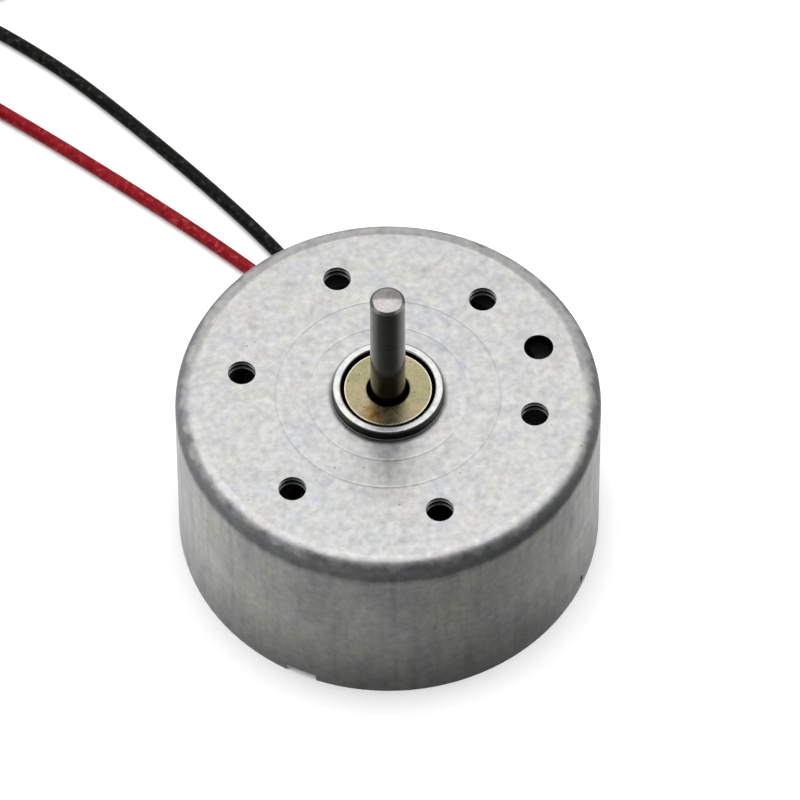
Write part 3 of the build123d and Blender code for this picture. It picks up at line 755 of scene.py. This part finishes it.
# from a coil's lower inner corner down to the solder under the next tab, in mm
TAIL_ROUTE = [(4.05, 2.45, 4.5), (3.72, 2.62, 4.2), (3.3, 2.85, 4.02), (2.6, 3.02, 3.95),
              (1.95, 2.95, 3.88), (1.62, 2.74, 3.85), (1.475, 2.555, 3.85)]

# the core's insulated neck, which the wire is wound round
eye_half = 1.3 * MM
eye_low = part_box("rear_insulator")[0].z
eye_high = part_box("front_insulator")[1].z


def lap_point(step, half_width, half_height, corner):
    """Point number step round a rounded rectangle, as (across, up) from its middle."""
    quarter = step // CORNER_STEPS % 4
    angle = (quarter + step % CORNER_STEPS / (CORNER_STEPS - 1)) * pi / 2
    right = 1 if quarter in (0, 3) else -1
    top = 1 if quarter in (0, 1) else -1
    return (right * (half_width - corner) + corner * cos(angle),
            top * (half_height - corner) + corner * sin(angle))


def smooth_route(points, steps=6):
    """More points along a smooth curve through these ones."""
    points = [Vector(p) for p in points]
    ends = [2 * points[0] - points[1]] + points + [2 * points[-1] - points[-2]]
    route = []
    for a, b, c, d in zip(ends, ends[1:], ends[2:], ends[3:]):
        for i in range(steps):
            t = i / steps
            route.append(0.5 * (2 * b + (c - a) * t + (2 * a - 5 * b + 4 * c - d) * t * t
                                + (3 * b - a - 3 * c + d) * t ** 3))
    return route + [points[-1]]


def winding(name, degrees):
    """A coil of one enamelled wire on its pole, with two tails down to the commutator tabs."""
    low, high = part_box("winding_1")
    inner = Vector((eye_half + WIRE_R, (eye_high - eye_low) / 2 + WIRE_R, INNER_CORNER))
    outer = Vector((high.x - WIRE_R, (high.z - low.z) / 2 - WIRE_R, OUTER_CORNER))
    start, end = low.y + WIRE_R, high.y - WIRE_R
    laps = int((end - start) / (2 * WIRE_R))
    middle = (low.z + high.z) / 2
    end_steps, side_steps = END_LAPS * LAP_STEPS, laps * LAP_STEPS
    path = []
    for step in range(2 * end_steps + side_steps + 1):
        spiral = min(step, 2 * end_steps + side_steps - step) / end_steps
        size = inner.lerp(outer, min(spiral, 1.0))
        across, up = lap_point(step, *size)
        along = min(max((step - end_steps) / side_steps, 0.0), 1.0)
        path.append(Vector((start + (end - start) * along, across, middle + up)))
    bm = bmesh.new()
    wire(bm, path, WIRE_R, sides=6)
    rings = []
    for place, size in ((start, outer), (end, outer), (end, inner), (start, inner)):
        laid = [lap_point(step, *size) for step in range(LAP_STEPS)]
        rings.append([Vector((place, across, middle + up)) for across, up in laid])
    skin(bm, rings, closed=True)
    for side in (-1, 1):
        tail = [Vector((x, side * y, z)) * MM for x, y, z in TAIL_ROUTE]
        wire(bm, smooth_route(tail), WIRE_R, sides=6)
    bmesh.ops.rotate(bm, verts=bm.verts, matrix=Matrix.Rotation(radians(degrees), 3, "Z"))
    return mesh_piece(name, bm, 50.0)


def tab_joints():
    """A solder bump under each commutator tab, over the tails of two windings."""
    bm = bmesh.new()
    for number, degrees in enumerate(TAB_ANGLES):
        angle = radians(degrees)
        centre = TAB_JOINT_R * Vector((cos(angle), sin(angle), 0))
        tails = [angle - TAIL_SPREAD, angle + TAIL_SPREAD]
        solder_dome(bm, centre, TAB_DOME, TAB_CLIMB, tails, 1.0 + number, sides=24)
    return mesh_piece("tab_joint_solder", bm)


def stand_in(piece, node, slot, body):
    """A detailed piece takes the place of one CAD node."""
    finish(piece, slot)
    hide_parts(node)
    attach(piece, body)


solder_domes, lead_conductors = terminal_joints()
stand_in(solder_domes, "solder_joints", "solder", "stator")
stand_in(lead_conductors, "lead_joint_ends", "tinned_copper", "stator")
for node, degrees in POLES.items():
    stand_in(winding(f"{node}_wire", degrees), node, "enamelled_copper", "rotor")
stand_in(tab_joints(), "winding_joints", "solder", "rotor")


# ---- floor and light ---------------------------------------------------------------
FLOOR_SIZE = 8.0
FLOOR_GAP = 0.01 * MM
LOWER_GLOW = 0.25
SIDE_GLOW = 0.25
HORIZON_GLOW = 0.33
FILL_HEIGHT = 2.0
FILL_CENTRE = (0.0, -0.5)
FILL_SIZE = (4.0, 4.0)
FILL_RADIANCE = 1.34
BOX_HEIGHT = 1.4
BOX_CENTRE = (0.4, 0.42)
BOX_SIZE = (3.4, 1.35)
BOX_RADIANCE = 1.48


def make_floor():
    bm = bmesh.new()
    bmesh.ops.create_grid(bm, x_segments=8, y_segments=8, size=FLOOR_SIZE / 2)
    floor = mesh_piece("floor", bm)
    f = Finish("floor_paper", {"Metallic": 0.0, "Specular IOR Level": 0.2})
    f.colour(f.ramp(f.noise(40 * MM, detail=3), (0.3, grey(0.90)), (0.7, grey(0.92))))
    f.roughness(f.span(f.noise(5 * MM), 0.3, 0.7, 0.75, 0.85))
    floor.data.materials.append(f.material)
    floor.location.z = -FLOOR_GAP
    floor.visible_glossy = False


def softbox(name, place, aim, size, radiance):
    """A soft rectangular light of this radiance, hidden from the camera."""
    light = bpy.data.lights.new(name, "AREA")
    light.shape = "RECTANGLE"
    light.size, light.size_y = size
    light.energy = radiance * pi * size[0] * size[1]
    made = link(name, light)
    made.location = place
    made.rotation_euler = (Vector(aim) - Vector(place)).to_track_quat("-Z", "Y").to_euler()
    made.visible_camera = False
    return made


def make_world():
    """Dim surroundings for the metal to mirror: darkest in front, lighter behind and to the left."""
    world = bpy.data.worlds.new("studio")
    world.use_nodes = True
    n = Nodes(world.node_tree)
    towards = n.place["Generated"]
    behind = n.ramp(n.span(n.part(towards, 1), -1.0, 1.0), (0.0, grey(0.12)), (0.22, grey(0.155)),
                    (0.5, grey(0.35)), (0.68, grey(0.6)), (1.0, grey(0.8)))
    downwards = n.maths("MAXIMUM", n.maths("MULTIPLY", n.part(towards, 2), -1.0), 0.0)
    below = n.maths("MULTIPLY", downwards, LOWER_GLOW)
    left = n.maths("MULTIPLY", n.part(towards, 0), -SIDE_GLOW)
    low = n.ramp(n.span(n.part(towards, 2), -1.0, 1.0), (0.2, grey(0.0)), (0.5, grey(HORIZON_GLOW)),
                 (0.7, grey(HORIZON_GLOW)), (0.81, grey(0.0)))
    total = n.maths("ADD", n.maths("ADD", behind, below), n.maths("ADD", left, low))
    n.plug(total, n.tree.nodes["Background"].inputs["Color"])
    bpy.context.scene.world = world
    bpy.context.scene.view_settings.view_transform = "Standard"


make_floor()
make_world()
softbox("overhead_box", (*BOX_CENTRE, BOX_HEIGHT), (*BOX_CENTRE, 0), BOX_SIZE, BOX_RADIANCE)
fill = softbox("floor_fill", (*FILL_CENTRE, FILL_HEIGHT), (*FILL_CENTRE, 0), FILL_SIZE, FILL_RADIANCE)
fill.visible_glossy = False
